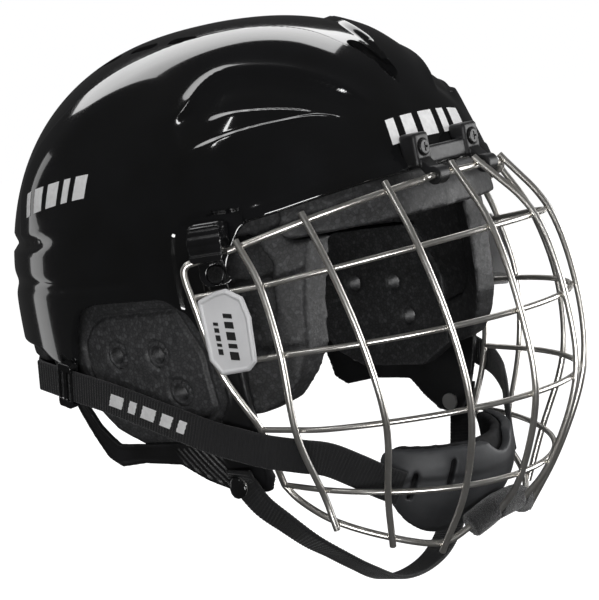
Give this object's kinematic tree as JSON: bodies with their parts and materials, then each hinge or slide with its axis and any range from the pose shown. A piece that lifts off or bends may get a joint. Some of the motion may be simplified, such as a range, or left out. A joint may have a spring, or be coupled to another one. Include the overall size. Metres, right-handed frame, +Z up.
{
  "type": "hockey helmet with face cage",
  "caption": "Youth ice hockey helmet with foam lining, swing-up wire face cage, chin cup and webbing straps.",
  "frame": {"origin": "middle of the head opening, level with the widest part of the shell", "axes": "+Z up as worn, -Y towards the face, -X the wearer's right"},
  "size_m": [0.2076, 0.2877, 0.2737],
  "materials": {
    "shell_gloss": "high gloss black",
    "foam": "matte moulded bead foam",
    "pad_foam": "soft closed-cell foam",
    "loop_plastic": "satin black",
    "clip_plastic": "gloss black",
    "screw_black": "black coated",
    "cage_wire": "satin nickel plating",
    "plate_grey": "satin light grey",
    "cup_rubber": "soft matte charcoal",
    "sling_fabric": "brushed black loop fabric",
    "webbing": "ribbed black webbing",
    "rivet_metal": "polished"
  },
  "bodies": {
    "helmet": {"brow_foam": "foam", "crown_foam": "foam", "ear_foam_left": "foam", "ear_foam_right": "foam", "ear_loop_left": "loop_plastic", "ear_loop_right": "loop_plastic", "forehead_clip": "clip_plastic", "forehead_screws": "screw_black", "nape_cradle": "loop_plastic", "nape_pad": "pad_foam", "rear_foam": "foam", "shell": "shell_gloss", "side_clip_left": "clip_plastic", "side_clip_right": "clip_plastic", "side_clip_screws": "screw_black", "side_foam_left": "foam", "side_foam_right": "foam", "strap_rivets": "rivet_metal", "temple_foam_left": "foam", "temple_foam_right": "foam"},
    "cage": {"brow_wire": "cage_wire", "chin_cup": "cup_rubber", "chin_pad": "pad_foam", "chin_sling": "sling_fabric", "chin_wire": "cage_wire", "cross_wire_1": "cage_wire", "cross_wire_2": "cage_wire", "cross_wire_3": "cage_wire", "cross_wire_4": "cage_wire", "cup_strap_left": "webbing", "cup_strap_right": "webbing", "label_plate_left": "plate_grey", "label_plate_right": "plate_grey", "side_wire_left": "cage_wire", "side_wire_right": "cage_wire", "upright_wire_1": "cage_wire", "upright_wire_2": "cage_wire", "upright_wire_3": "cage_wire", "upright_wire_4": "cage_wire", "upright_wire_5": "cage_wire", "upright_wire_6": "cage_wire", "upright_wire_7": "cage_wire", "upright_wire_8": "cage_wire"},
    "chin_strap": {"chin_strap": "webbing"},
    "slider_left": {"strap_slider_left": "clip_plastic"},
    "slider_right": {"strap_slider_right": "clip_plastic"}
  },
  "joints": [
    {"name": "cage_lift", "type": "hinge", "parent": "helmet", "child": "cage", "pos_m": [0, -0.1298, 0.0443], "axis": [-1, 0, 0], "range_deg": [0, 110]},
    {"name": "chin_strap_swing", "type": "hinge", "parent": "helmet", "child": "chin_strap", "pos_m": [0, -0.044, -0.075], "axis": [1, 0, 0], "range_deg": [-6, 30]},
    {"name": "slider_left_travel", "type": "slide", "parent": "cage", "child": "slider_left", "axis": [-0.024, 0.9618, 0.2725], "range_m": [-0.006, 0.006]},
    {"name": "slider_right_travel", "type": "slide", "parent": "cage", "child": "slider_right", "axis": [0.024, 0.9618, 0.2725], "range_m": [-0.006, 0.006]}
  ]
}
